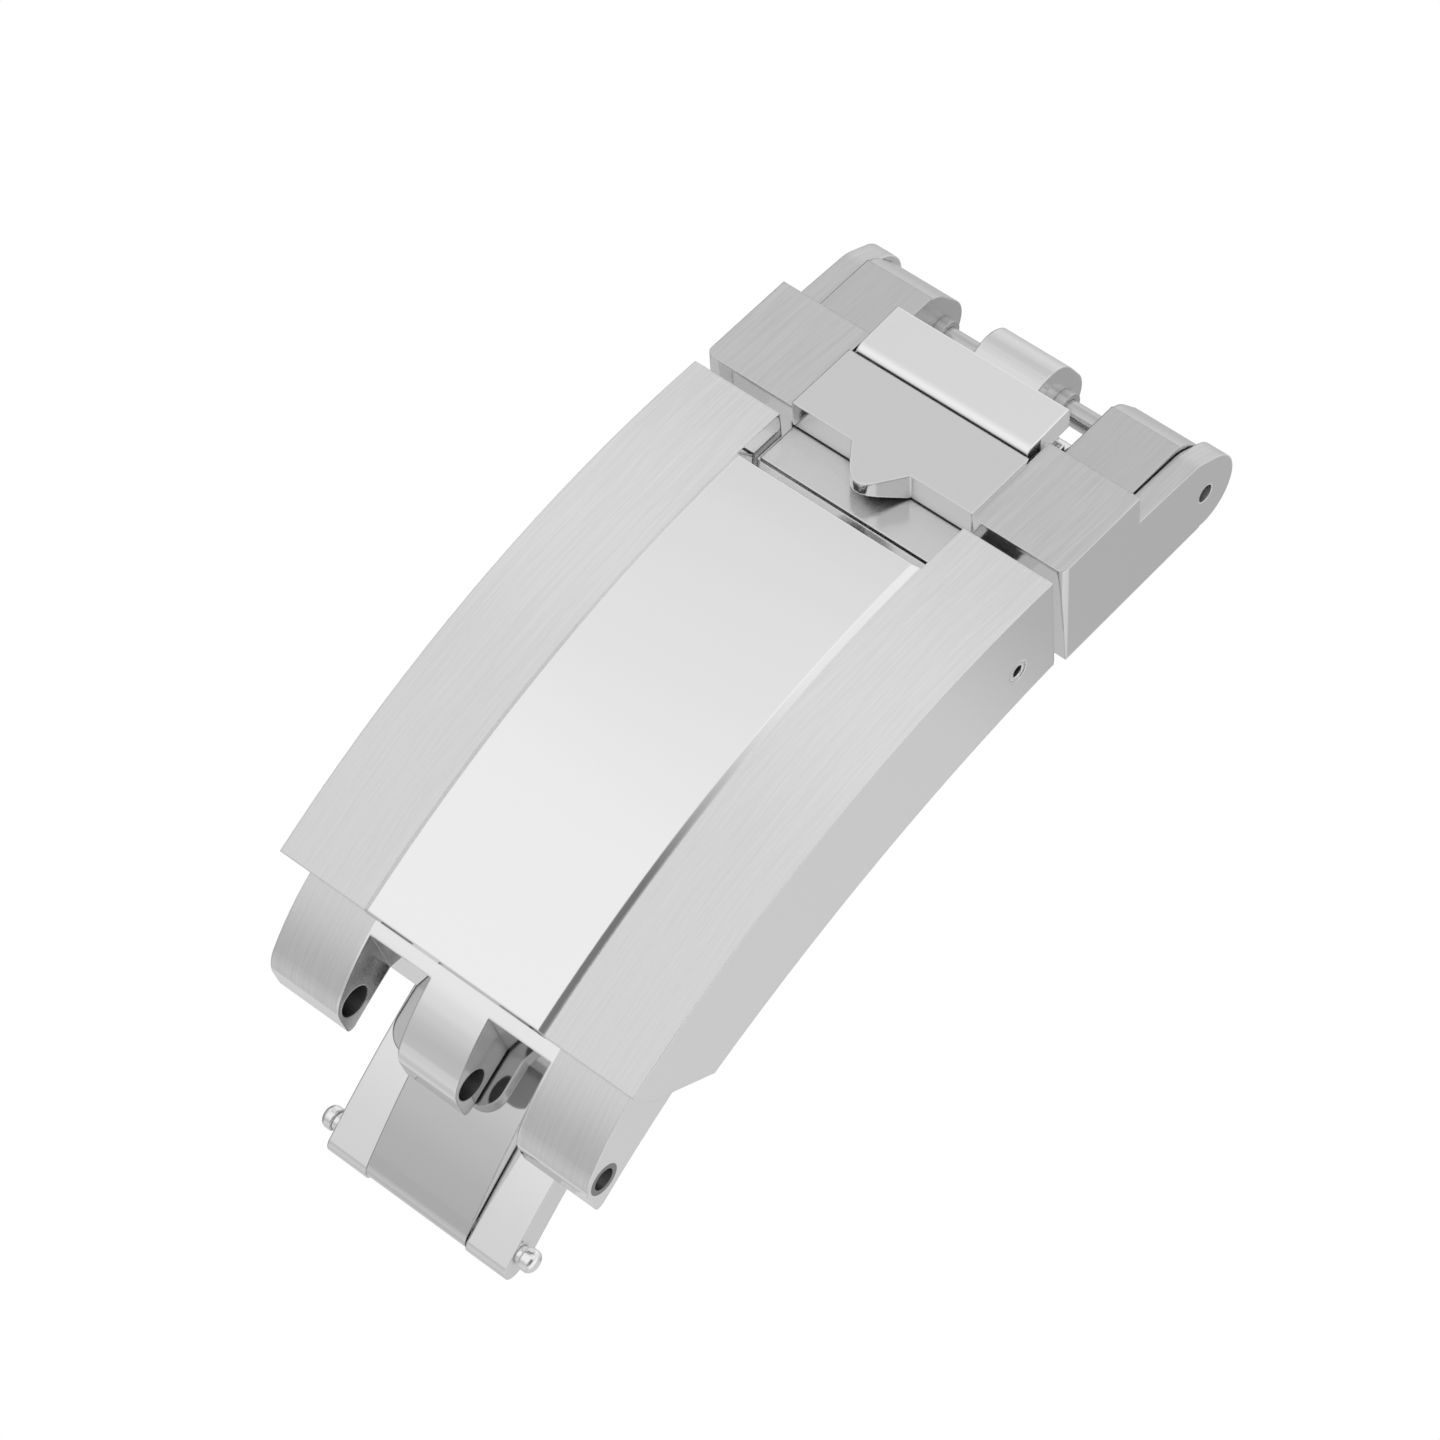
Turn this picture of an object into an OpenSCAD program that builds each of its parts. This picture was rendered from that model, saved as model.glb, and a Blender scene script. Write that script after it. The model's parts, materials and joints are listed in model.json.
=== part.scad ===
// Folding clasp for a bracelet: curved cover, two folding blades, safety
// catch, release lever and a sliding extension link. Sizes in millimetres.
// Most modules draw in the clasp frame: origin on the top of the cover at
// mid-length, +X to the catch end, +Y to the far side, +Z up.

/* [View] */
// Sub-part to draw

/* [Cover] */
// Radius of the brushed top of the cover
cover_r = 45.6; // [40:0.1:60]
// Width of the cover over its side walls
cover_width = 17.5; // [14:0.1:22]
// Thickness of the cover's top plate
cover_plate = 1.4; // [0.8:0.1:2]
// Thickness of the cover's side walls
cover_wall = 0.7; // [0.5:0.05:1.2]
// Half length of the cover along X
cover_half = 12.5; // [10:0.1:16]
// Half width of the polished centre band
centre_half = 4.45; // [3:0.05:6]
// Height of the polished centre above the brushed shoulders
centre_rise = 0.25; // [0.1:0.05:0.5]
// Width of the bevel along the centre band
centre_bevel = 0.22; // [0:0.02:0.5]
// Radius of the curve along the bottom of the side walls
skirt_r = 58.5; // [50:0.5:80]
// Height of the centre of that curve
skirt_z = -64; // [-90:0.5:-50]

/* [Hinges] */
// Hinge of cover and middle blade: distance inside the cover's end, height
fold1_in = [2.78, -4.47]; // [-20:0.01:20]
// Position of the hinge between middle blade and bottom blade
fold2 = [-17.85, -12.42]; // [-20:0.01:20]
// Bracelet bar of the catch: distance beyond the cover's end, height
bar_out = [8.35, -7.75]; // [-30:0.01:30]
// Slope of the catch and of its end link
catch_slope = 14; // [5:0.5:20]
// Pivot of the release lever in the frame of the catch
lever_axis = [-3.2, 1.5]; // [-5:0.05:5]

/* [Pins] */
// Radius of the cover hinge pin
pin1_r = 0.46; // [0.3:0.01:0.8]
// Radius of the fold pin
pin2_r = 0.38; // [0.3:0.01:0.8]
// Radius of the bracelet bar
bar_r = 0.5; // [0.4:0.01:0.8]
// Radius of the lever pin
lever_pin_r = 0.35; // [0.2:0.01:0.6]
// Radius of the bracelet bore in the extension link
link_bore_r = 0.7; // [0.5:0.01:1]
// Radius of the bracelet screw
screw_r = 0.48; // [0.3:0.01:0.7]

/* [Clearances] */
// Radial clearance of a turning fit
turn_gap = 0.04; // [0.01:0.01:0.1]
// Radial clearance of a fixed fit
fixed_gap = 0.01; // [0:0.005:0.05]
// Side clearance between moving faces
side_gap = 0.06; // [0.02:0.01:0.2]

/* [Blades] */
// Half width of the bottom blade
blade_half = 4.6; // [3:0.1:7]
// Half width of the tongue of the middle blade in the fork
tongue_half = 2.56; // [2:0.02:4]
// Thickness of the rails of the bottom blade
rail_thick = 1.4; // [0.8:0.1:2]
// Thickness of the middle blade
mid_thick = 0.9; // [0.6:0.05:1.5]
// Radius of the top curve of the bottom blade
low_r = 48.6; // [40:0.1:60]
// Radius of the top curve of the middle blade
mid_r = 42.5; // [36:0.1:50]

/* [Extension link] */
// Top radius of the extension link
ext_top = 44.1; // [40:0.05:50]
// Bottom radius of the extension link
ext_low = 41.05; // [38:0.05:48]
// Half width of the centre lobe
lobe_half = 1.45; // [1:0.05:3]
// Inner half width of the outer lobes
lobe_side = 4.5; // [3:0.05:6]
// Depth of the bracelet screw in its hole
screw_deep = 0.4; // [0:0.05:1]
// Near and far edge of the guide plate between the lobes
guide_y = [-2.2, 3.25]; // [-4:0.05:4]
// Travel of the extension link along its curve, in degrees
ext_travel = 6.5; // [2:0.1:8]

/* [Safety catch] */
// Height of the catch shoulders above the bar axis
catch_top = 3.75; // [3:0.05:5]
// Distance of the catch front from the bar axis
catch_front = 8.95; // [7:0.05:12]
// Rear edge of the raised shoulders
catch_rear = 4.25; // [3:0.05:6]
// Inner half width between the wings of the catch
wing_in = 7.75; // [6:0.05:9]
// Half width of the raised panel and of the window
panel_half = 4.4; // [3:0.05:6]

/* [Hidden] */
$fn = 96;
zc = -cover_r;
half_w = cover_width / 2;
plate_r = cover_r - cover_plate;
wall_y = half_w - cover_wall;
tilt = 5.825;
lift = 11.538;
shift = -0.793;
out_y = half_w + 0.5;
blade_y = blade_half + 0.5;
fold1 = [cover_half - fold1_in[0], fold1_in[1]];
bar_axis = [cover_half + bar_out[0], bar_out[1]];
ext_half = wall_y - 0.05;

function unit(v) = v / norm(v);
// Centre of the arc of radius r that rises from p to q and bulges upwards
function arc_centre(p, q, r) = (p + q) / 2
  + unit([(q - p)[1], -(q - p)[0]]) * sqrt(r * r - pow(norm(q - p) / 2, 2));
low_c = arc_centre(fold2 + [-0.24, 0.41], bar_axis + [-6.4, 0.6], low_r);
mid_c = arc_centre(fold2 + [1.49, 1.89], fold1 + [0, 0.7], mid_r);
// Centres of the rounded ends of both blades, inside their top curves
low_end = low_c + (low_r - 0.56) * unit(fold2 - [0.5, 0.4] - low_c);
mid_end = mid_c + (mid_r - 0.75) * unit(fold2 - [0.25, 0.23] - mid_c);
// Centres of the link's shoulder curve and of its nose
shoulder_a = -14.5;
shoulder_c = [(ext_top - 10) * sin(shoulder_a),
  zc + (ext_top - 10) * cos(shoulder_a)];
nose_c = shoulder_c + [-5.51, 6.34];
bore1 = pin1_r + turn_gap;
bore2 = pin2_r + turn_gap;
ext_axis = nose_c + [-0.7, 0.12];
stop_y = 6;
stop_a = -13.7;
ball_a = -10.4;
ball_r = 0.35;
click = 0.04;
detent = [-2.6, wing_in + click - 0.4, 0.2];
rivets = [for (x = [-6.6, -4], y = [-3, 3]) [x, y]];
leaf_rivets = [for (y = [-1.2, 1.2]) [4.2, y]];

// From the clasp frame to the frame of the whole part
module placed() translate([shift, 0, lift]) rotate([0, tilt, 0]) children();

// Frame of the catch: origin on the bar axis, X along the end link
module catch_frame() translate([bar_axis[0], 0, bar_axis[1]])
  rotate([0, catch_slope, 0]) children();

// Profile in X and Z, pulled along Y from y0 to y1
module slab(y0, y1) translate([0, y1, 0]) rotate([90, 0, 0])
  linear_extrude(y1 - y0) children();

// Same slab on both sides
module slabs(y0, y1) { slab(y0, y1) children(); slab(-y1, -y0) children(); }

// Round bar along Y
module cyl(p, r, y0, y1) translate([p[0], y1, p[1]]) rotate([90, 0, 0])
  cylinder(r = r, h = y1 - y0);

// Round bar along a radius of the cover at angle a
module spoke(a, y, r, r0, r1) translate([0, y, zc]) rotate([0, a, 0])
  translate([0, 0, r0]) cylinder(r = r, h = r1 - r0, $fn = 40);

// Close-wound coil spring along Z
module coil(r, wire, h, turns) for (i = [0:turns - 1])
  translate([0, 0, wire + i * (h - 2 * wire) / (turns - 1)])
    rotate_extrude($fn = 40) translate([r, 0]) circle(r = wire, $fn = 24);

// Side outline of the cover with its chamfered end
module cover_outline() union() {
  translate([-cover_half, 0]) polygon([[0, 1], [0, -1.8], [0.1, -2.25],
    [0.35, -2.88], [0.71, -3.45], [1.1, -3.86], [1.51, -4.18],
    [3.4, -6.15], [3.4, -8], [6, -8], [6, 1]]);
  translate([cover_half, 0]) polygon([[0.58, 1], [0, -1.75],
    [-0.98, -6.45], [-1.2, -7], [-1.35, -8], [5 - 2 * cover_half, -8],
    [5 - 2 * cover_half, 1]]);
}

module cover_shell() color("gainsboro") placed() difference() {
  union() {
    intersection() {
      cyl([0, zc], cover_r, -half_w, half_w);
      slab(-half_w, half_w) cover_outline();
    }
    intersection() {
      translate([0, 0, zc]) rotate([90, 0, 0]) rotate_extrude($fn = 180)
        polygon([[plate_r, -centre_half], [cover_r + 0.02, -centre_half],
          [cover_r + centre_rise, -centre_half + centre_bevel],
          [cover_r + centre_rise, centre_half - centre_bevel],
          [cover_r + 0.02, centre_half], [plate_r, centre_half]]);
      slab(-centre_half, centre_half) translate([-cover_half, -2])
        square([2 * cover_half - 2, 4]);
    }
  }
  intersection() {
    cyl([0, zc], plate_r, -wall_y, wall_y);
    slab(-wall_y, wall_y) translate([-cover_half - 2, -12])
      square([2 * cover_half + 4, 14]);
  }
  cyl([-0.5, skirt_z], skirt_r, -out_y, out_y);
  slab(-lobe_side, lobe_side) translate([cover_half, 0])
    polygon([[-2.9, 0.2], [-2.6, -0.82], [-1.82, -2.35], [-1.78, -8],
      [1.5, -8], [1.5, 0.2]]);
  cyl(fold1, pin1_r + fixed_gap, -out_y, out_y);
  for (y = [-stop_y, stop_y]) spoke(stop_a, y, 0.41, 43, 44.95);
  spoke(ball_a, 0, ball_r + 0.02, 43, 45.15);
  for (y = [-1.4, 1.4]) spoke(3.4, y, 0.4, 43, 44.8);
}

module cover_hinge_pin() color("silver") placed() difference() {
  cyl(fold1, pin1_r, -half_w + 0.02, half_w - 0.02);
  cyl(fold1, 0.27, half_w - 0.8, half_w);
  cyl(fold1, 0.27, -half_w, -half_w + 0.8);
}

// Hook under the cover with two studs pressed in the top plate
module latch_hook() color("silver") placed() {
  difference() {
    slab(-1.9, 1.9) polygon([[1.7, -6.05], [2.4, -6.05], [2.72, -5.8],
      [2.72, -5.6], [2.4, -5.3], [2.4, -2.2], [3.4, -1.85], [3.4, -1],
      [1.7, -1]]);
    difference() {
      slab(-3, 3) translate([0, -6]) square([6, 8]);
      cyl([0, zc], plate_r, -4, 4);
      slab(-3, 3) translate([0, -9]) square([6, 6]);
    }
  }
  for (y = [-1.4, 1.4]) spoke(3.4, y, 0.39, 43.9, 44.75);
}

module stop_pins() color("silver") placed()
  for (y = [-stop_y, stop_y]) spoke(stop_a, y, 0.4, 43.15, 44.9);

module extension_ball() color("silver") placed()
  translate([0, 0, zc]) rotate([0, ball_a, 0])
    translate([0, 0, ext_top - click + ball_r]) sphere(r = ball_r, $fn = 32);

module extension_spring() color("silver") placed()
  translate([0, 0, zc]) rotate([0, ball_a, 0])
    translate([0, 0, ext_top - click + 2 * ball_r]) coil(0.2, 0.06, 0.3, 3);

// Polished guide plate that is fixed between the side walls of the cover
module extension_carrier() color("white") placed() {
  intersection() {
    difference() {
      cyl([0, zc], ext_low - 0.15, -wall_y, wall_y);
      cyl([0, zc], ext_low - 0.75, -out_y, out_y);
    }
    translate([0, 0, -20]) linear_extrude(20) hull() {
      for (y = [guide_y[0] + 0.95, guide_y[1] - 0.95])
        translate([-14.1, y]) circle(r = 0.95, $fn = 40);
      translate([-8, guide_y[0]]) square([0.4, guide_y[1] - guide_y[0]]);
    }
  }
  intersection() {
    difference() {
      cyl([0, zc], ext_low - 0.07, -wall_y, wall_y);
      cyl([0, zc], ext_low - 0.75, -out_y, out_y);
    }
    slab(-wall_y, wall_y) translate([-8.7, -8]) square([1.3, 4]);
  }
}

// Link without its cuts: square body, round shoulder, nose round the bore
module ext_body() intersection() {
  cyl([0, zc], ext_top, -ext_half, ext_half);
  union() {
    slab(-ext_half, ext_half) union() {
      translate([-11.04, -9]) square([7.24, 8]);
      translate([nose_c[0] - 1.6, -7.2]) square([3, nose_c[1] + 7.2]);
      translate([nose_c[0] - 1.35, -7.5]) square([3, 1]);
      translate([nose_c[0] - 1.35, -7.25]) circle(r = 0.25, $fn = 32);
    }
    cyl(nose_c, 1.6, -ext_half, ext_half);
    intersection() {
      cyl(shoulder_c, 10, -ext_half, ext_half);
      slab(-ext_half, ext_half) translate([nose_c[0] - 1.05, -8])
        square([4.2, 6]);
    }
  }
}

module extension_link() color("lightgray") placed() difference() {
  ext_body();
  cyl([0, zc], ext_low, -out_y, out_y);
  slabs(lobe_half, lobe_side) translate([-17, -10]) square([4.2, 10]);
  cyl(ext_axis, link_bore_r, -2, out_y);
  cyl(ext_axis, screw_r + fixed_gap, -out_y, -2);
  for (y = [-stop_y, stop_y]) intersection() {
    difference() {
      cyl([0, zc], 45, y - 0.45, y + 0.45);
      cyl([0, zc], 43.05, y - 1, y + 1);
    }
    slab(y - 0.45, y + 0.45) translate([-10.84, -6]) square([6.1, 6]);
  }
  for (a = [ball_a, ball_a + ext_travel]) translate([0, 0, zc])
    rotate([0, a, 0]) translate([0, 0, ext_top - click + ball_r])
      sphere(r = ball_r + 0.03, $fn = 32);
}

module bracelet_screw() color("silver") placed() difference() {
  cyl(ext_axis, screw_r, -ext_half + screw_deep, -lobe_side - 0.4);
  translate([ext_axis[0], -ext_half + screw_deep, ext_axis[1]])
    rotate([0, -35, 0]) cube([1.2, 0.7, 0.18], center = true);
}

module middle_blade() color("white") placed() difference() {
  union() {
    intersection() {
      cyl(mid_c, mid_r, -4.4, 4.4);
      union() {
        difference() {
          union() {
            slab(-tongue_half, tongue_half) translate(mid_end - [0, 3])
              square([19, 12]);
            slab(-4.4, 4.4) translate([-7.9, -9]) square([17.6, 8]);
          }
          cyl(mid_c, mid_r - mid_thick, -5, 5);
        }
        slab(-tongue_half, tongue_half) hull() {
          translate(mid_end) circle(r = 0.75, $fn = 48);
          translate(fold2 + [0.05, -0.05]) circle(r = 0.76, $fn = 48);
          translate(fold2 + [1.7, 1.5]) circle(r = 0.5, $fn = 32);
        }
      }
    }
    cyl(fold1, 0.95, 0.1 - wall_y, wall_y - 0.1);
  }
  cyl(fold1, bore1, -out_y, out_y);
  cyl(fold2, 0.5, -5, 5);
  slab(-2.1, 2.1) translate([0.7, -8]) square([2, 6]);
}

module fold_bushing() color("silver") placed() difference() {
  cyl(fold2, 0.49, -tongue_half, tongue_half);
  cyl(fold2, bore2, -5, 5);
}

// Fold pin with a neck and a domed head at both ends
module fold_pin() color("silver") placed() {
  cyl(fold2, pin2_r, -blade_half - 0.3, blade_half + 0.3);
  for (s = [0, 180]) translate([fold2[0], 0, fold2[1]]) rotate([0, 0, s])
    rotate([-90, 0, 0]) translate([0, 0, blade_half + 0.25])
      rotate_extrude($fn = 48) polygon([[0, 0], [0.44, 0], [0.5, 0.06],
        [0.5, 0.33], [0.46, 0.43], [0.37, 0.52], [0.22, 0.58], [0, 0.6]]);
}

module bottom_blade() color("white") placed() difference() {
  union() {
    intersection() {
      difference() {
        cyl(low_c, low_r, -blade_half, blade_half);
        cyl(low_c, low_r - rail_thick, -blade_y, blade_y);
      }
      slab(-blade_half, blade_half) hull() {
        translate(low_end) circle(r = 0.56, $fn = 40);
        polygon([fold2 + [0.5, 1], [-10, -4], [bar_axis[0] - 6.4, -4],
          [bar_axis[0] - 6.4, -12], [-10, -14]]);
      }
    }
    catch_frame() translate([-7.6, -panel_half, -1.85])
      cube([5, 2 * panel_half, 0.85]);
  }
  slab(-2.6, 2.6) translate([-20, -16]) square([11.2, 8]);
  intersection() {
    difference() {
      cyl(low_c, low_r + 1, -2.6, 2.6);
      cyl(low_c, low_r - 0.5, -3, 3);
    }
    slab(-2.6, 2.6) translate([-20, -16]) square([33, 12]);
  }
  catch_frame() translate([-8, -blade_y, -1]) cube([8, 2 * blade_y, 3]);
  cyl(fold2, pin2_r + fixed_gap, -blade_y, blade_y);
  for (p = rivets) catch_frame() translate([p[0], p[1], -3]) {
    cylinder(r = 0.41, h = 4, $fn = 40);
    cylinder(r = 0.68, h = 1.15, $fn = 40);
  }
  for (p = leaf_rivets) translate([p[0], p[1], -9])
    cylinder(r = 0.31, h = 4, $fn = 32);
}

// Sprung leaf that holds the cover shut; riveted on the bottom blade
module latch_spring() color("silver") placed() {
  difference() {
    slab(-1.8, 1.8) polygon([[2.78, -5.35], [2.98, -5.12], [3.18, -5.3],
      [3.18, -6.42], [5.2, -6.42], [5.2, -6.68], [2.98, -6.68],
      [2.98, -5.62], [2.78, -5.45]]);
    for (p = leaf_rivets) translate([p[0], p[1], -9])
      cylinder(r = 0.31, h = 4, $fn = 32);
  }
  for (p = leaf_rivets) translate([p[0], p[1], -7.55]) {
    cylinder(r = 0.3, h = 1.3, $fn = 32);
    translate([0, 0, 1.13]) cylinder(r = 0.48, h = 0.15, $fn = 32);
  }
}

module blade_rivets() color("silver") placed() catch_frame()
  for (p = rivets) translate([p[0], p[1], 0]) {
    translate([0, 0, -1.9]) cylinder(r = 0.4, h = 2.3, $fn = 40);
    translate([0, 0, -2.1]) cylinder(r = 0.65, h = 0.25, $fn = 40);
  }

// Lug seen from the side: front face is round about the bar axis
module lug() union() {
  intersection() {
    circle(r = 4.8);
    translate([-5, -1.8]) square([4.6, 4.2]);
  }
  hull() {
    circle(r = 1.45, $fn = 48);
    translate([-0.9, 0.75]) circle(r = 1.65, $fn = 48);
    translate([-0.38, -0.35]) circle(r = 1.45, $fn = 48);
  }
}

module end_link() color("lightgray") placed() catch_frame() difference() {
  union() {
    slabs(panel_half + 0.05, wing_in - 0.05) lug();
    slab(-1.6, 1.6) union() {
      hull() {
        circle(r = 1.45, $fn = 48);
        translate([-0.55, 0.8]) circle(r = 1.5, $fn = 48);
      }
      translate([-3, -1]) square([3, 1.6]);
    }
    slab(-wing_in + 0.05, wing_in - 0.05) translate([-7.9, -1])
      square([5.6, 1.6]);
  }
  cyl([0, 0], bar_r + fixed_gap, -half_w, half_w);
  cyl(lever_axis, lever_pin_r + fixed_gap, -6.6, 6.6);
  for (p = rivets) translate([p[0], p[1], -3])
    cylinder(r = 0.41, h = 3.45, $fn = 40);
  for (s = [-1, 1]) translate([detent[0], s * (wing_in + 0.25), detent[2]])
    rotate([s * 90, 0, 0]) cylinder(r = 0.42, h = 1.6, $fn = 40);
}

module bracelet_bar() color("silver") placed() catch_frame()
  cyl([0, 0], bar_r, 0.45 - half_w, half_w - 0.45);

// Two short collars beside the lugs that centre the bracelet knuckles
module spacer_collars() color("silver") placed() catch_frame()
  for (y = [4, -2.05]) difference() {
    cyl([0, 0], 0.75, y, y + 0.45);
    cyl([0, 0], bar_r + fixed_gap, y - 1, y + 1);
  }

module catch_detent_balls() color("silver") placed() catch_frame()
  for (s = [-1, 1]) translate([detent[0], s * detent[1], detent[2]])
    sphere(r = 0.4, $fn = 32);

module catch_detent_springs() color("silver") placed() catch_frame()
  for (s = [-1, 1])
    translate([detent[0], s * (detent[1] - 0.4), detent[2]])
      rotate([s * 90, 0, 0]) coil(0.24, 0.07, 0.46, 4);

module lever_pin() color("silver") placed() catch_frame()
  cyl(lever_axis, lever_pin_r, -6.5, 6.5);

// Leaf spring under the lever plate
module lever_spring() color("silver") placed() catch_frame()
  slab(-1.6, 1.6) polygon([[-3.9, 0.6], [-6.9, 0.6], [-7.2, 0.8],
    [-7.25, 1.5], [-7.0, 1.78], [-5.6, 1.62], [-5.6, 1.48],
    [-6.85, 1.6], [-7.08, 1.42], [-7.02, 0.85], [-6.8, 0.74],
    [-3.9, 0.74]]);

// Pocket floor, pivot barrel and finger bar in one piece
module release_lever() color("white") placed() catch_frame() difference() {
  union() {
    slab(-panel_half + side_gap, panel_half - side_gap) union() {
      translate([-catch_front - 2, 1.85])
        square([catch_front - 1.2, 0.77]);
      translate(lever_axis) circle(r = 0.75, $fn = 48);
      translate([-4.2, 1.5]) square([1, 1]);
    }
    slab(-3.9, 3.9) translate([-4.7, 2.4]) square([1.7, 1]);
    slab(-4.2, 4.2) hull() {
      translate([-4.95, 3.62]) circle(r = 0.48, $fn = 32);
      translate([-2.87, 3.32]) circle(r = 0.12, $fn = 32);
      translate([-2.87, 4.1]) circle(r = 0.12, $fn = 32);
    }
  }
  cyl(lever_axis, lever_pin_r + turn_gap, -9, 9);
}

// Side view of a catch wing with its round nose
module wing() union() {
  hull() {
    circle(r = 1.72, $fn = 64);
    translate([-0.9, 0.42]) circle(r = 1.72, $fn = 64);
  }
  polygon([[-catch_rear, 2.3], [-3.5, 2.27], [-0.9, 2.14], [-0.3, 0],
    [-0.3, -1.75], [0.3 - catch_front, -1.75], [-catch_front, catch_top],
    [-catch_rear, catch_top]]);
}

module safety_catch() color("gainsboro") placed() catch_frame() difference() {
  union() {
    intersection() {
      union() {
        slabs(wing_in, half_w) wing();
        slab(-wing_in - 0.25, wing_in + 0.25) polygon([
          [0.3 - catch_front, -1.75], [-catch_front, catch_top],
          [-catch_rear, catch_top], [-catch_rear, 2.43], [-5.2, -1.75]]);
        slab(-panel_half, panel_half) translate([-catch_front, 2])
          square([4, catch_top + 0.22 - 2]);
      }
      translate([0, 0, -3]) linear_extrude(9) hull() {
        for (s = [-1, 1]) translate([-catch_front + 0.35, s * (half_w - 0.35)])
          circle(r = 0.35, $fn = 32);
        translate([1, -half_w]) square([1, 2 * half_w]);
      }
    }
    intersection() {
      translate([-catch_front, 0, 2])
        linear_extrude(catch_top + 0.22 - 2) polygon([[0.2, 1.5],
          [0, 1.45], [-0.6, 1.02], [-1.1, 0.66], [-1.36, 0.4],
          [-1.5, 0.15], [-1.5, -0.15], [-1.36, -0.4], [-1.1, -0.66],
          [-0.6, -1.02], [0, -1.45], [0.2, -1.5]]);
      slab(-2, 2) translate([-catch_front, 0]) polygon([[0.2, 2.7],
        [-0.1, 2.7], [-1.6, 3.4], [-1.6, 4.2], [0.2, 4.2]]);
    }
  }
  slab(-wing_in, wing_in) difference() {
    polygon([[0.8 - catch_front, -3], [0.8 - catch_front, 2.75], [-5.3, 2.75], [-4.9, 2.42],
      [-3, 2.42], [-3, -3]]);
    difference() {
      translate([-5.4, 2.3]) square([2, 1]);
      circle(r = 4.88);
    }
  }
  slab(-lobe_side, lobe_side) translate([-12, -3]) square([6, 5.7]);
  slab(-blade_half - 0.12, blade_half + 0.12) translate([-12, -3])
    square([6, 3.2]);
  slab(-panel_half, panel_half) intersection() {
    circle(r = 6.78);
    translate([-8, 0]) square([8, 7]);
  }
  slab(-wing_in, wing_in) circle(r = 4.87);
  cyl([0, 0], bar_r + turn_gap, 0.39 - half_w, half_w - 0.39);
  cyl([0, 0], 0.4, -out_y, out_y);
  for (s = [-1, 1]) translate([detent[0], s * detent[1], detent[2]])
    sphere(r = 0.44, $fn = 32);
}

cover_shell();
cover_hinge_pin();
latch_hook();
stop_pins();
extension_ball();
extension_spring();
extension_carrier();
extension_link();
bracelet_screw();
middle_blade();
fold_bushing();
fold_pin();
bottom_blade();
latch_spring();
blade_rivets();
end_link();
bracelet_bar();
spacer_collars();
catch_detent_balls();
catch_detent_springs();
lever_pin();
lever_spring();
release_lever();
safety_catch();
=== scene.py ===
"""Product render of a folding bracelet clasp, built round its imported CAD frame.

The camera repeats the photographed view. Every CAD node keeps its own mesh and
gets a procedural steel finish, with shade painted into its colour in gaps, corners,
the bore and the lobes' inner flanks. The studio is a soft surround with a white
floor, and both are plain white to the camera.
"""

from __future__ import annotations

import json
import logging
import math
from dataclasses import dataclass
from enum import Enum

import bmesh
import bpy
from mathutils import Matrix, Vector

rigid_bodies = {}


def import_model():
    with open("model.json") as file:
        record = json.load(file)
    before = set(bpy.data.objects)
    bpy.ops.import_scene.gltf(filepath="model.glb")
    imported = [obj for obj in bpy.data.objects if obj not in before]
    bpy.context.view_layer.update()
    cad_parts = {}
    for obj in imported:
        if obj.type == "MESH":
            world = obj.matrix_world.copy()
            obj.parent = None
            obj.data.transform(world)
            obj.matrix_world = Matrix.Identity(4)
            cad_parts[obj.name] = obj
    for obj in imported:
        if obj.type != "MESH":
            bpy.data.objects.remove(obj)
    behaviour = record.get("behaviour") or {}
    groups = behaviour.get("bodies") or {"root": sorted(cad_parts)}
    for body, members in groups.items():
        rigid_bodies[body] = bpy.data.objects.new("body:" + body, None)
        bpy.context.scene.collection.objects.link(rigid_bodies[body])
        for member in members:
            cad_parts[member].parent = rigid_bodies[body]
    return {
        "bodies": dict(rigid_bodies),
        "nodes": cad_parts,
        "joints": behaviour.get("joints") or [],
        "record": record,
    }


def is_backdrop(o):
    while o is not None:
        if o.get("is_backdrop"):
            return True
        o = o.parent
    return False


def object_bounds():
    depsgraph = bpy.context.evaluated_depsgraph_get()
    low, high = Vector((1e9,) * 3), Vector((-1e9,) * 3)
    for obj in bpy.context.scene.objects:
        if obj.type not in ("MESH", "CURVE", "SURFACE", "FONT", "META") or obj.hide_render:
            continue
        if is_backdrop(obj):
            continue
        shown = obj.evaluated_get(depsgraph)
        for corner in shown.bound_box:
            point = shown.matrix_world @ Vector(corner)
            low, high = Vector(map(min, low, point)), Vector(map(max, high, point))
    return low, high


LOG = logging.getLogger("clasp")
MM = 0.001
WHITE = (1.0, 1.0, 1.0, 1.0)

Socket = bpy.types.NodeSocket
Stops = tuple[tuple[float, float], ...]


class Finish(Enum):
    """The steel finishes of the clasp, and two tones of painted shade."""

    BRUSHED = "brushed"
    POLISHED = "polished"
    SATIN = "satin"
    FINE = "fine"
    RAIL = "rail"
    DARK = "dark"
    # Painted shade: a darker tone for faces in shade, the lobes' inner flanks and the
    # carrier between them.
    SHADE = "shade"
    # Painted shade: a dark, rougher tone inside the bore.
    BORE = "bore"
    DULL = "dull"
    ROD = "rod"
    SPRING = "spring"


@dataclass(frozen=True)
class CameraFit:
    """Camera that was fitted to the photo, in the clasp's own frame.

    Attributes:
        position: Camera position in millimetres.
        right: Direction of the image's right side.
        back: Direction from the object to the camera.
        lens: Focal length in millimetres on the sensor below.
        sensor: Sensor width in millimetres.
        clip: Nearest and farthest distance in metres.
    """

    position: tuple[float, float, float] = (-44.072, -81.495, 167.963)
    right: tuple[float, float, float] = (0.61995, -0.76072, -0.19226)
    back: tuple[float, float, float] = (-0.23415, -0.41323, 0.88001)
    lens: float = 129.764
    sensor: float = 36.0
    clip: tuple[float, float] = (0.01, 5.0)


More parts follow.
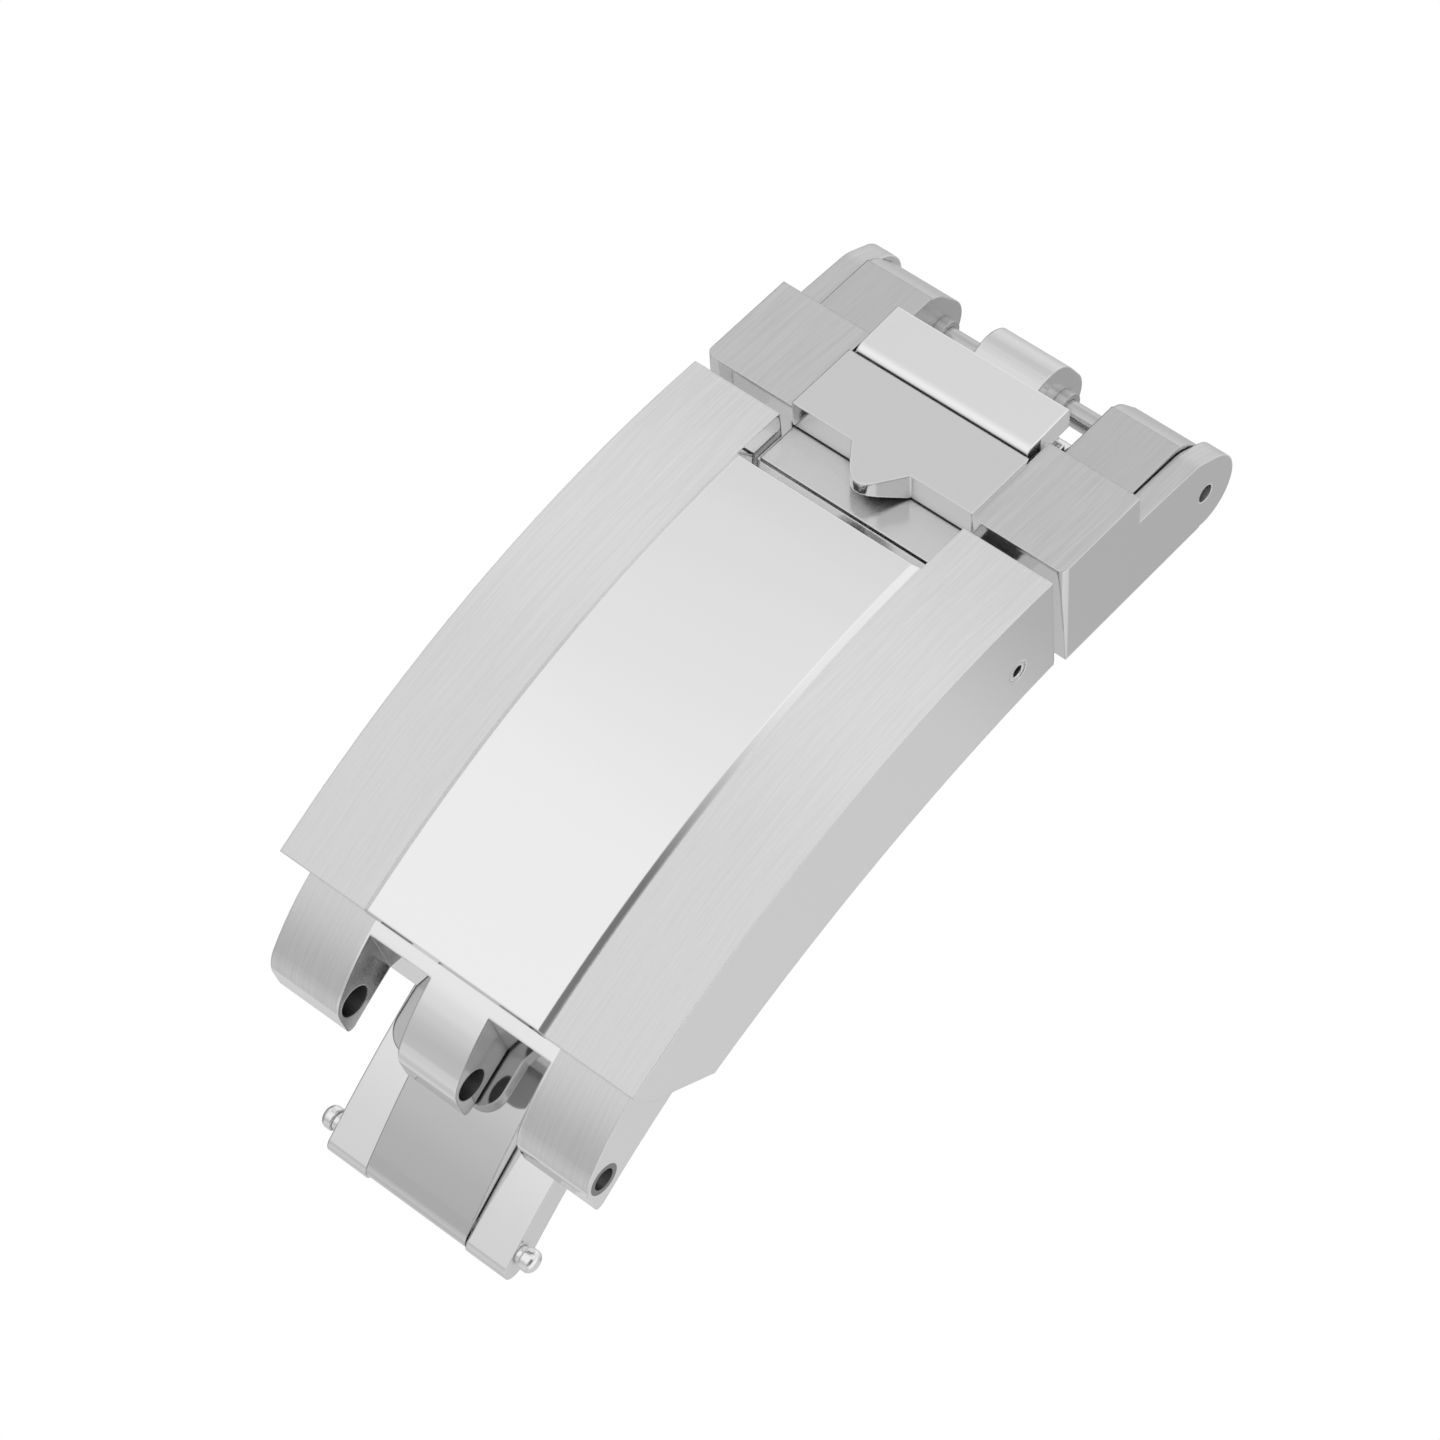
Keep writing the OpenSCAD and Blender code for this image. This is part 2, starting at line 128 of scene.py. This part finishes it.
@dataclass(frozen=True)
class Placement:
    """How the clasp's own frame lies in the row frame.

    Attributes:
        tilt: Turn about the Y axis, in degrees.
        shift: Move along X in millimetres.
        lift: Move along Z in millimetres.
    """

    tilt: float = 5.825
    shift: float = -0.793
    lift: float = 11.538

    def matrix(self) -> Matrix:
        """Gives the transform from the clasp frame to the row frame.

        Returns:
            A 4x4 matrix with its translation in metres.
        """
        move = Matrix.Translation((self.shift * MM, 0.0, self.lift * MM))
        return move @ Matrix.Rotation(math.radians(self.tilt), 4, "Y")


@dataclass(frozen=True)
class NodeFinish:
    """Finish of one CAD node.

    Attributes:
        finish: Main finish of the node.
        inner: Finish of the band near the centre line, if it differs.
        half_band: Half width of that band in millimetres.
        side: Finish of steep faces.
        flank: Finish of the faces that look along Y.
        flank_half: Distance in millimetres from the centre line within which the
            flank finish holds. The default reaches past the whole clasp.
        bore: X, Z and radius in millimetres of a bore along Y, whose rougher walls get a
            dark painted shade tone.
        left: Finish of the length before left_end.
        left_end: X where that finish ends, in millimetres.
    """

    finish: Finish
    inner: Finish | None = None
    half_band: float = 0.0
    side: Finish | None = None
    flank: Finish | None = None
    flank_half: float = 20.0
    bore: tuple[float, float, float] | None = None
    left: Finish | None = None
    left_end: float = 0.0


# Bore whose walls get painted shade, as X, Z and radius in millimetres.
BALL_BORE = (-16.087, 6.94, 0.72)
SPRING = NodeFinish(Finish.SPRING)
DEFAULT_FINISH = NodeFinish(Finish.POLISHED)

FINISHES: dict[str, NodeFinish] = {
    "cover_shell": NodeFinish(
        Finish.BRUSHED, inner=Finish.POLISHED, half_band=4.46, side=Finish.POLISHED
    ),
    "extension_link": NodeFinish(
        Finish.BRUSHED,
        inner=Finish.POLISHED,
        half_band=4.6,
        side=Finish.POLISHED,
        # Painted shade on the inner flanks between the lobes.
        flank=Finish.SHADE,
        flank_half=7.5,
        bore=BALL_BORE,
    ),
    # Painted shade: the carrier plate between the lobes gets the darker shade tone.
    "extension_carrier": NodeFinish(Finish.SHADE, bore=BALL_BORE),
    "safety_catch": NodeFinish(
        Finish.FINE,
        inner=Finish.SATIN,
        half_band=4.41,
        side=Finish.DARK,
        flank=Finish.POLISHED,
    ),
    "release_lever": NodeFinish(Finish.POLISHED, left=Finish.SATIN, left_end=14.8),
    "end_link": NodeFinish(Finish.DULL, inner=Finish.DARK, half_band=1.7),
    "bracelet_bar": NodeFinish(Finish.ROD),
    "spacer_collars": NodeFinish(Finish.ROD),
    "bracelet_screw": NodeFinish(Finish.DARK),
    "middle_blade": NodeFinish(Finish.DARK),
    "bottom_blade": NodeFinish(Finish.RAIL),
    "lever_spring": SPRING,
    "latch_spring": SPRING,
    "extension_spring": SPRING,
    "catch_detent_springs": SPRING,
}


@dataclass(frozen=True)
class SteelValues:
    """Values of one steel finish.

    Attributes:
        tone: Grey of the metal.
        roughness: Roughness of the shader.
        grain: Strength of the brushed streaks.
        bump: Strength of the streaks' relief.
        edge: Radius of the shaded edge rounding in millimetres.
        spread: Anisotropy across the streaks.
    """

    tone: float
    roughness: float
    grain: float
    bump: float
    edge: float
    spread: float = 0.0

    def inputs(self) -> tuple[float, ...]:
        """Gives the values of the steel group's inputs, in their order."""
        return (self.tone, self.roughness, self.grain, self.bump, self.edge)


@dataclass(frozen=True)
class Patch:
    """Light or dark screen of the studio, faded along each axis of the direction.

    Attributes:
        gain: Brightness that it adds where it is full.
        x: Stops along X, towards the catch end.
        y: Stops along Y, from the near side to the far side.
        z: Stops along Z, upwards.
    """

    gain: float
    x: Stops
    y: Stops
    z: Stops


EVEN: Stops = ((-1.0, 1.0), (1.0, 1.0))
WINDOW_X: Stops = ((0.2, 0.0), (0.4, 1.0), (0.65, 1.0), (0.8, 0.0))
WINDOW_Z: Stops = ((0.0, 0.0), (0.2, 1.0))

NEAR_WINDOW = Patch(
    gain=0.25,
    x=WINDOW_X,
    y=((-0.3, 1.0), (-0.1, 0.0)),
    z=WINDOW_Z,
)
FAR_WINDOW = Patch(
    gain=0.3,
    x=WINDOW_X,
    y=((0.48, 0.0), (0.6, 1.0)),
    z=WINDOW_Z,
)
NEAR_SCREEN = Patch(
    gain=-0.5,
    x=((0.05, 1.0), (0.3, 0.0)),
    y=((-0.65, 1.0), (-0.45, 0.0)),
    z=((0.1, 0.0), (0.25, 1.0), (0.75, 1.0), (0.9, 0.0)),
)
NEAR_LOW_LIGHT = Patch(
    gain=0.28,
    x=EVEN,
    y=((-0.8, 1.0), (-0.62, 0.0)),
    z=((-0.7, 0.0), (-0.5, 1.0), (-0.15, 1.0), (0.0, 0.0)),
)
UNDER_SCREEN = Patch(
    gain=-0.17,
    x=((0.165, 0.0), (0.2, 1.0), (0.3, 1.0), (0.4, 0.0)),
    y=EVEN,
    z=((-0.85, 1.0), (-0.6, 0.0)),
)
FAR_SCREEN = Patch(
    gain=-0.4,
    x=EVEN,
    y=((0.55, 0.0), (0.75, 1.0)),
    z=((0.15, 1.0), (0.4, 0.0)),
)


@dataclass(frozen=True)
class Studio:
    """World lighting and camera background.

    Attributes:
        camera_white: Strength of the white that the camera sees.
        floor_half: Half width of the floor in metres.
        floor_drop: Depth of the floor under the object in metres.
        stops: Brightness by height: the Z of the direction, then the tone.
        sides: Factor by the X of the direction.
        patches: Lights and dark screens round the object.
    """

    camera_white: float = 1.0
    floor_half: float = 1.5
    floor_drop: float = 0.06
    stops: Stops = (
        (-1.0, 0.62),
        (-0.88, 0.63),
        (-0.60, 0.66),
        (-0.20, 0.72),
        (0.12, 0.68),
        (0.36, 0.66),
        (0.50, 0.62),
        (0.60, 0.68),
        (0.68, 0.76),
        (0.80, 0.86),
        (0.88, 0.92),
        (1.0, 0.93),
    )
    sides: Stops = (
        (-1.0, 0.98),
        (-0.90, 0.93),
        (-0.84, 0.82),
        (-0.79, 0.79),
        (-0.74, 0.86),
        (-0.68, 0.92),
        (-0.63, 0.98),
        (-0.47, 1.02),
        (-0.25, 1.0),
        (0.05, 0.99),
        (0.3, 0.93),
        (0.45, 0.94),
        (0.6, 1.0),
        (0.8, 1.12),
        (1.0, 1.3),
    )
    patches: tuple[Patch, ...] = (
        NEAR_WINDOW,
        FAR_WINDOW,
        NEAR_SCREEN,
        NEAR_LOW_LIGHT,
        UNDER_SCREEN,
        FAR_SCREEN,
    )


class NodeTree:
    """Small helper that adds and links shader nodes."""

    def __init__(self, tree: bpy.types.NodeTree) -> None:
        """Keeps the tree.

        Args:
            tree: The shader node tree to fill.
        """
        self.tree = tree

    @classmethod
    def empty(cls, owner: bpy.types.Material | bpy.types.World) -> NodeTree:
        """Turns a material's or world's nodes on and empties them.

        Args:
            owner: The material or world.

        Returns:
            The helper of its empty tree.
        """
        owner.use_nodes = True
        owner.node_tree.nodes.clear()
        return cls(owner.node_tree)

    def add(self, kind: str, **values: object) -> bpy.types.Node:
        """Adds a node.

        Args:
            kind: The node's type identifier.
            **values: Properties of the node.

        Returns:
            The new node.
        """
        node = self.tree.nodes.new(kind)
        for name, value in values.items():
            setattr(node, name, value)
        return node

    def link(self, source: Socket, target: Socket) -> None:
        """Links an output socket to an input socket.

        Args:
            source: The output socket.
            target: The input socket.
        """
        self.tree.links.new(source, target)

    def feed(self, value: Socket | float, target: Socket) -> None:
        """Links a socket, or sets a number.

        Args:
            value: An output socket or a number.
            target: The input socket.
        """
        if isinstance(value, (int, float)):
            target.default_value = value
        else:
            self.link(value, target)

    def math(
        self, operation: str, a: Socket | float, b: Socket | float | None = None
    ) -> Socket:
        """Adds a math node.

        Args:
            operation: Name of the operation.
            a: First socket or number.
            b: Second socket or number, if the operation takes two.

        Returns:
            The output socket.
        """
        node = self.add("ShaderNodeMath", operation=operation)
        for slot, value in enumerate((a, b)):
            if value is not None:
                self.feed(value, node.inputs[slot])
        return node.outputs[0]

    def mix(self, mask: Socket, first: Socket | float, second: float) -> Socket | float:
        """Mixes two values, unless they are the same number.

        Args:
            mask: Socket of the mix factor.
            first: Socket or number at mask 0.
            second: Number at mask 1.

        Returns:
            The mixed socket, or the number that both share.
        """
        if first == second:
            return first
        node = self.add("ShaderNodeMix")
        self.feed(mask, node.inputs["Factor"])
        self.feed(first, node.inputs["A"])
        self.feed(second, node.inputs["B"])
        return node.outputs["Result"]


@dataclass(frozen=True)
class GrainLayer:
    """One layer of the brushed grain.

    Attributes:
        scale: Noise scale along X, Y and Z, per metre.
        share: Weight of the layer in the mixed height.
    """

    scale: tuple[float, float, float]
    share: float


class SteelGroup:
    """Shader node group for worked steel with grain along X and painted gap shade."""

    INPUTS = ("Tone", "Roughness", "Grain", "Bump", "Edge")
    OUTPUTS = (("Color", "Color"), ("Roughness", "Float"), ("Normal", "Vector"))
    LAYERS = (
        GrainLayer((200.0, 7000.0, 200.0), 0.45),
        GrainLayer((500.0, 16000.0, 500.0), 0.55),
    )
    NOISE_DETAIL = 2.0
    WANDER_SCALE = 90.0
    WANDER_WIDTH = 0.7 * MM
    MEAN_HEIGHT = 0.5
    TONE_SWING = 0.32
    ROUGHNESS_SWING = 0.25
    BUMP_DEPTH = 0.02 * MM
    # Painted shade in gaps and corners: occlusion reach, occlusion range that is shaded,
    # darkest tone factor.
    GAP_SHADE_REACH = 0.75 * MM
    GAP_SHADE_OPEN = (0.1, 0.65)
    GAP_SHADE_TONE = 0.35
    SAMPLES = 8

    def __init__(self) -> None:
        """Builds the group once."""
        self.group = bpy.data.node_groups.new("worked_steel", "ShaderNodeTree")
        self._sockets()
        self._nodes()

    def _sockets(self) -> None:
        face = self.group.interface
        for name in self.INPUTS:
            face.new_socket(name, in_out="INPUT", socket_type="NodeSocketFloat")
        for name, kind in self.OUTPUTS:
            face.new_socket(name, in_out="OUTPUT", socket_type=f"NodeSocket{kind}")

    def _nodes(self) -> None:
        """Fills the group with its nodes."""
        kit = NodeTree(self.group)
        entry = kit.add("NodeGroupInput")
        leave = kit.add("NodeGroupOutput")
        height = self._height(kit)
        centred = kit.math("SUBTRACT", height, self.MEAN_HEIGHT)
        swing = kit.math("MULTIPLY", centred, entry.outputs["Grain"])
        lighter = kit.math("MULTIPLY", swing, self.TONE_SWING)
        grained = kit.math("ADD", entry.outputs["Tone"], lighter)
        # Painted shade: the tone is darkened where ambient occlusion finds narrow gaps and
        # corners.
        tone = kit.math("MULTIPLY", grained, self._painted_gap_shade(kit))
        colour = kit.add("ShaderNodeCombineColor")
        for channel in range(3):
            kit.link(tone, colour.inputs[channel])
        rougher = kit.math("MULTIPLY", swing, self.ROUGHNESS_SWING)
        rough = kit.math("ADD", entry.outputs["Roughness"], rougher)
        soft = kit.add("ShaderNodeBevel", samples=self.SAMPLES)
        kit.link(kit.math("MULTIPLY", entry.outputs["Edge"], MM), soft.inputs["Radius"])
        bump = kit.add("ShaderNodeBump")
        bump.inputs["Distance"].default_value = self.BUMP_DEPTH
        kit.link(entry.outputs["Bump"], bump.inputs["Strength"])
        kit.link(height, bump.inputs["Height"])
        kit.link(soft.outputs["Normal"], bump.inputs["Normal"])
        kit.link(colour.outputs["Color"], leave.inputs["Color"])
        kit.link(rough, leave.inputs["Roughness"])
        kit.link(bump.outputs["Normal"], leave.inputs["Normal"])

    def _height(self, kit: NodeTree) -> Socket:
        """Adds the streaks' height: stretched noise that wanders a little.

        Args:
            kit: Helper of the group's tree.

        Returns:
            The height socket.
        """
        where = kit.add("ShaderNodeTexCoord")
        wander = kit.add("ShaderNodeTexNoise")
        wander.inputs["Scale"].default_value = self.WANDER_SCALE
        kit.link(where.outputs["Object"], wander.inputs["Vector"])
        sway = kit.add("ShaderNodeCombineXYZ")
        drift = kit.math("MULTIPLY", wander.outputs["Fac"], self.WANDER_WIDTH)
        kit.link(drift, sway.inputs["Y"])
        moved = kit.add("ShaderNodeVectorMath", operation="ADD")
        kit.link(where.outputs["Object"], moved.inputs[0])
        kit.link(sway.outputs[0], moved.inputs[1])
        heights = []
        for layer in self.LAYERS:
            stretch = kit.add("ShaderNodeMapping")
            stretch.inputs["Scale"].default_value = layer.scale
            kit.link(moved.outputs[0], stretch.inputs["Vector"])
            noise = kit.add("ShaderNodeTexNoise")
            noise.inputs["Scale"].default_value = 1.0
            noise.inputs["Detail"].default_value = self.NOISE_DETAIL
            kit.link(stretch.outputs["Vector"], noise.inputs["Vector"])
            heights.append(kit.math("MULTIPLY", noise.outputs["Fac"], layer.share))
        return kit.math("ADD", heights[0], heights[1])

    def _painted_gap_shade(self, kit: NodeTree) -> Socket:
        """Adds painted shade: ambient occlusion darkens the tone in narrow gaps and inner
        corners.

        Args:
            kit: Helper of the group's tree.

        Returns:
            Socket of the factor on the tone.
        """
        shade = kit.add("ShaderNodeAmbientOcclusion", samples=self.SAMPLES)
        shade.inputs["Distance"].default_value = self.GAP_SHADE_REACH
        depth = kit.add("ShaderNodeMapRange")
        depth.inputs["From Min"].default_value = self.GAP_SHADE_OPEN[0]
        depth.inputs["From Max"].default_value = self.GAP_SHADE_OPEN[1]
        depth.inputs["To Min"].default_value = self.GAP_SHADE_TONE
        kit.link(shade.outputs["AO"], depth.inputs["Value"])
        return depth.outputs[0]


class Materials:
    """Makes one material for each CAD node."""

    SETTINGS: dict[Finish, SteelValues] = {
        Finish.BRUSHED: SteelValues(0.87, 0.42, 1.0, 0.5, 0.08, 0.85),
        Finish.FINE: SteelValues(0.67, 0.34, 0.9, 0.4, 0.08, 0.6),
        Finish.POLISHED: SteelValues(0.93, 0.05, 0.0, 0.0, 0.11),
        Finish.RAIL: SteelValues(0.87, 0.08, 0.05, 0.0, 0.11),
        Finish.SATIN: SteelValues(0.77, 0.22, 0.12, 0.04, 0.11),
        Finish.DARK: SteelValues(0.77, 0.08, 0.05, 0.0, 0.11),
        # Painted shade tone for faces in shade between the lobes.
        Finish.SHADE: SteelValues(0.52, 0.12, 0.05, 0.0, 0.11),
        # Painted shade tone on the walls inside the bore, which are also rougher.
        Finish.BORE: SteelValues(0.3, 0.3, 0.1, 0.0, 0.02),
        Finish.DULL: SteelValues(0.64, 0.25, 0.3, 0.08, 0.12),
        Finish.ROD: SteelValues(0.60, 0.14, 0.1, 0.05, 0.04),
        Finish.SPRING: SteelValues(0.62, 0.28, 0.2, 0.1, 0.03),
    }

    METALLIC = 0.92

    # A face is steep below this Z of its normal, and a flank above this |Y| of it.
    STEEP_Z = 0.35
    FLANK_Y = 0.7

    # Direction of the streaks: X, turned a little so that no face looks along it.
    STREAK = (1.0, 0.01, 0.02)

    def __init__(self) -> None:
        """Builds the shared steel group."""
        self.steel = SteelGroup()

    def make(self, name: str, plan: NodeFinish) -> bpy.types.Material:
        """Makes the material of one node.

        Args:
            name: Name of the CAD node.
            plan: Its finish plan.

        Returns:
            The material.
        """
        material = bpy.data.materials.new(f"steel_{name}")
        kit = NodeTree.empty(material)
        where = kit.add("ShaderNodeTexCoord")
        place = kit.add("ShaderNodeSeparateXYZ")
        facing = kit.add("ShaderNodeSeparateXYZ")
        kit.link(where.outputs["Object"], place.inputs[0])
        kit.link(where.outputs["Normal"], facing.inputs[0])
        values: list[Socket | float] = list(self.SETTINGS[plan.finish].inputs())
        for finish, mask in self._zones(kit, plan, place, facing):
            others = self.SETTINGS[finish].inputs()
            values = [kit.mix(mask, a, b) for a, b in zip(values, others)]
        group = kit.add("ShaderNodeGroup")
        group.node_tree = self.steel.group
        for slot, value in zip(SteelGroup.INPUTS, values):
            kit.feed(value, group.inputs[slot])
        steel = kit.add("ShaderNodeBsdfPrincipled")
        steel.inputs["Metallic"].default_value = self.METALLIC
        kit.link(group.outputs["Color"], steel.inputs["Base Color"])
        kit.link(group.outputs["Roughness"], steel.inputs["Roughness"])
        kit.link(group.outputs["Normal"], steel.inputs["Normal"])
        spread = self.SETTINGS[plan.finish].spread
        if spread > 0.0:
            steel.inputs["Anisotropic"].default_value = spread
            tangent = self._tangent(kit, where.outputs["Normal"])
            kit.link(tangent, steel.inputs["Tangent"])
        leave = kit.add("ShaderNodeOutputMaterial")
        kit.link(steel.outputs["BSDF"], leave.inputs["Surface"])
        return material

    def _tangent(self, kit: NodeTree, normal: Socket) -> Socket:
        """Adds the world direction that lies in a face, square to the streaks.

        Args:
            kit: Helper of the material's tree.
            normal: Socket of the object normal.

        Returns:
            The tangent socket.
        """
        across = kit.add("ShaderNodeVectorMath", operation="CROSS_PRODUCT")
        kit.link(normal, across.inputs[0])
        across.inputs[1].default_value = self.STREAK
        turned = kit.add(
            "ShaderNodeVectorTransform",
            vector_type="VECTOR",
            convert_from="OBJECT",
            convert_to="WORLD",
        )
        kit.link(across.outputs[0], turned.inputs[0])
        return turned.outputs[0]

    def _zones(
        self,
        kit: NodeTree,
        plan: NodeFinish,
        place: bpy.types.Node,
        facing: bpy.types.Node,
    ) -> list[tuple[Finish, Socket]]:
        """Makes the masks of a plan's zones, the later ones on top.

        Args:
            kit: Helper of the material's tree.
            plan: The node's finish plan.
            place: Separated object coordinates.
            facing: Separated normal.

        Returns:
            Finish and mask socket of each zone.
        """
        zones: list[tuple[Finish, Socket]] = []
        if plan.inner is not None:
            off = kit.math("ABSOLUTE", place.outputs["Y"])
            within = kit.math("LESS_THAN", off, plan.half_band * MM)
            zones.append((plan.inner, within))
        if plan.left is not None:
            before = kit.math("LESS_THAN", place.outputs["X"], plan.left_end * MM)
            zones.append((plan.left, before))
        if plan.side is not None:
            steep = kit.math("LESS_THAN", facing.outputs["Z"], self.STEEP_Z)
            zones.append((plan.side, steep))
        if plan.flank is not None:
            across = kit.math("ABSOLUTE", facing.outputs["Y"])
            wide = kit.math("GREATER_THAN", across, self.FLANK_Y)
            off = kit.math("ABSOLUTE", place.outputs["Y"])
            within = kit.math("LESS_THAN", off, plan.flank_half * MM)
            zones.append((plan.flank, kit.math("MULTIPLY", wide, within)))
        # Painted shade: the walls of the bore get the dark bore tone.
        if plan.bore is not None:
            x, z, radius = plan.bore
            section = kit.add("ShaderNodeCombineXYZ")
            kit.link(place.outputs["X"], section.inputs["X"])
            kit.link(place.outputs["Z"], section.inputs["Z"])
            reach = kit.add("ShaderNodeVectorMath", operation="DISTANCE")
            kit.link(section.outputs[0], reach.inputs[0])
            reach.inputs[1].default_value = (x * MM, 0.0, z * MM)
            inside = kit.math("LESS_THAN", reach.outputs["Value"], radius * MM)
            zones.append((Finish.BORE, inside))
        return zones


class ClaspScene:
    """Builds the whole scene round the CAD frame."""

    def __init__(self) -> None:
        """Sets up the parts of the scene."""
        self.fit = CameraFit()
        self.placement = Placement()
        self.studio = Studio()
        self.frame: dict = {}

    def build(self) -> None:
        """Runs every step."""
        self._clear()
        self.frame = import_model()
        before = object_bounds()
        self._shade()
        self._floor()
        self._world()
        self._camera()
        self._write_size(before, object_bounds())

    @staticmethod
    def _clear() -> None:
        """Empties the start scene."""
        for item in list(bpy.data.objects):
            bpy.data.objects.remove(item, do_unlink=True)

    def _shade(self) -> None:
        """Gives every CAD node the material of its finish plan."""
        materials = Materials()
        for name, item in self.frame["nodes"].items():
            plan = FINISHES.get(name, DEFAULT_FINISH)
            item.data.materials.clear()
            item.data.materials.append(materials.make(name, plan))
            LOG.info("finish of %s: %s", name, plan.finish.value)

    def _floor(self) -> None:
        """Lays a plain white floor under the object, clear of every pose.

        Only the camera sees it, and only from above.
        """
        mesh = bpy.data.meshes.new("floor")
        shape = bmesh.new()
        half = self.studio.floor_half
        bmesh.ops.create_grid(shape, x_segments=1, y_segments=1, size=half)
        down = (0.0, 0.0, -self.studio.floor_drop)
        bmesh.ops.translate(shape, vec=down, verts=shape.verts)
        shape.to_mesh(mesh)
        shape.free()
        floor = bpy.data.objects.new("floor", mesh)
        bpy.context.scene.collection.objects.link(floor)
        material = bpy.data.materials.new("floor_white")
        kit = NodeTree.empty(material)
        path = kit.add("ShaderNodeLightPath")
        side = kit.add("ShaderNodeNewGeometry")
        front = kit.math("SUBTRACT", 1.0, side.outputs["Backfacing"])
        seen = kit.math("MULTIPLY", path.outputs["Is Camera Ray"], front)
        white = kit.add("ShaderNodeEmission")
        white.inputs["Strength"].default_value = self.studio.camera_white
        mix = kit.add("ShaderNodeMixShader")
        kit.link(seen, mix.inputs[0])
        kit.link(kit.add("ShaderNodeBsdfTransparent").outputs[0], mix.inputs[1])
        kit.link(white.outputs[0], mix.inputs[2])
        leave = kit.add("ShaderNodeOutputMaterial")
        kit.link(mix.outputs[0], leave.inputs["Surface"])
        mesh.materials.append(material)
        floor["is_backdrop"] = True

    def _world(self) -> None:
        """Makes the surround: plain white to the camera, toned in reflections."""
        world = bpy.data.worlds.new("studio")
        bpy.context.scene.world = world
        kit = NodeTree.empty(world)
        where = kit.add("ShaderNodeTexCoord")
        split = kit.add("ShaderNodeSeparateXYZ")
        kit.link(where.outputs["Generated"], split.inputs[0])
        tone = self._ramp(kit, split.outputs["Z"], self.studio.stops)
        side = self._ramp(kit, split.outputs["X"], self.studio.sides)
        total = kit.math("MULTIPLY", tone, side)
        for patch in self.studio.patches:
            masks = [
                self._ramp(kit, split.outputs[axis], stops)
                for axis, stops in (("X", patch.x), ("Y", patch.y), ("Z", patch.z))
            ]
            pair = kit.math("MULTIPLY", masks[0], masks[1])
            whole = kit.math("MULTIPLY", pair, masks[2])
            total = kit.math("ADD", total, kit.math("MULTIPLY", whole, patch.gain))
        glow = kit.add("ShaderNodeBackground")
        glow.inputs["Color"].default_value = WHITE
        kit.link(total, glow.inputs["Strength"])
        white = kit.add("ShaderNodeBackground")
        white.inputs["Color"].default_value = WHITE
        white.inputs["Strength"].default_value = self.studio.camera_white
        path = kit.add("ShaderNodeLightPath")
        mix = kit.add("ShaderNodeMixShader")
        kit.link(path.outputs["Is Camera Ray"], mix.inputs[0])
        kit.link(glow.outputs[0], mix.inputs[1])
        kit.link(white.outputs[0], mix.inputs[2])
        leave = kit.add("ShaderNodeOutputWorld")
        kit.link(mix.outputs[0], leave.inputs["Surface"])
        bpy.context.scene.view_settings.view_transform = "Standard"

    @staticmethod
    def _ramp(kit: NodeTree, value: Socket, stops: Stops) -> Socket:
        """Adds a smooth tone ramp over a direction's component.

        Args:
            kit: Helper of the world's tree.
            value: Socket of the component, from -1 to 1.
            stops: Component and tone of each stop.

        Returns:
            The tone socket.
        """
        ramp = kit.add("ShaderNodeValToRGB")
        ramp.color_ramp.interpolation = "EASE"
        while len(ramp.color_ramp.elements) < len(stops):
            ramp.color_ramp.elements.new(0.5)
        for element, (place, tone) in zip(ramp.color_ramp.elements, stops):
            element.position = 0.5 + 0.5 * place
            element.color = (tone, tone, tone, 1.0)
        half = kit.math("ADD", kit.math("MULTIPLY", value, 0.5), 0.5)
        kit.link(half, ramp.inputs[0])
        return ramp.outputs["Color"]

    def _camera(self) -> None:
        """Places the fitted camera."""
        data = bpy.data.cameras.new("camera")
        data.lens = self.fit.lens
        data.sensor_width = self.fit.sensor
        data.clip_start, data.clip_end = self.fit.clip
        right, back = Vector(self.fit.right), Vector(self.fit.back)
        up = back.cross(right)
        pose = Matrix((right, up, back)).transposed().to_4x4()
        pose.translation = Vector(self.fit.position) * MM
        item = bpy.data.objects.new("camera", data)
        bpy.context.scene.collection.objects.link(item)
        item.matrix_world = self.placement.matrix() @ pose
        bpy.context.scene.camera = item

    @staticmethod
    def _write_size(before: tuple, after: tuple) -> None:
        """Takes the bounds of the CAD frame and of the finished scene, and does nothing
        with them.

        Args:
            before: Bounds straight after loading. Not used.
            after: Bounds of the finished object. Not used.
        """


def main() -> None:
    """Builds the scene."""
    logging.basicConfig(level=logging.INFO)
    ClaspScene().build()


if __name__ == "__main__":
    main()
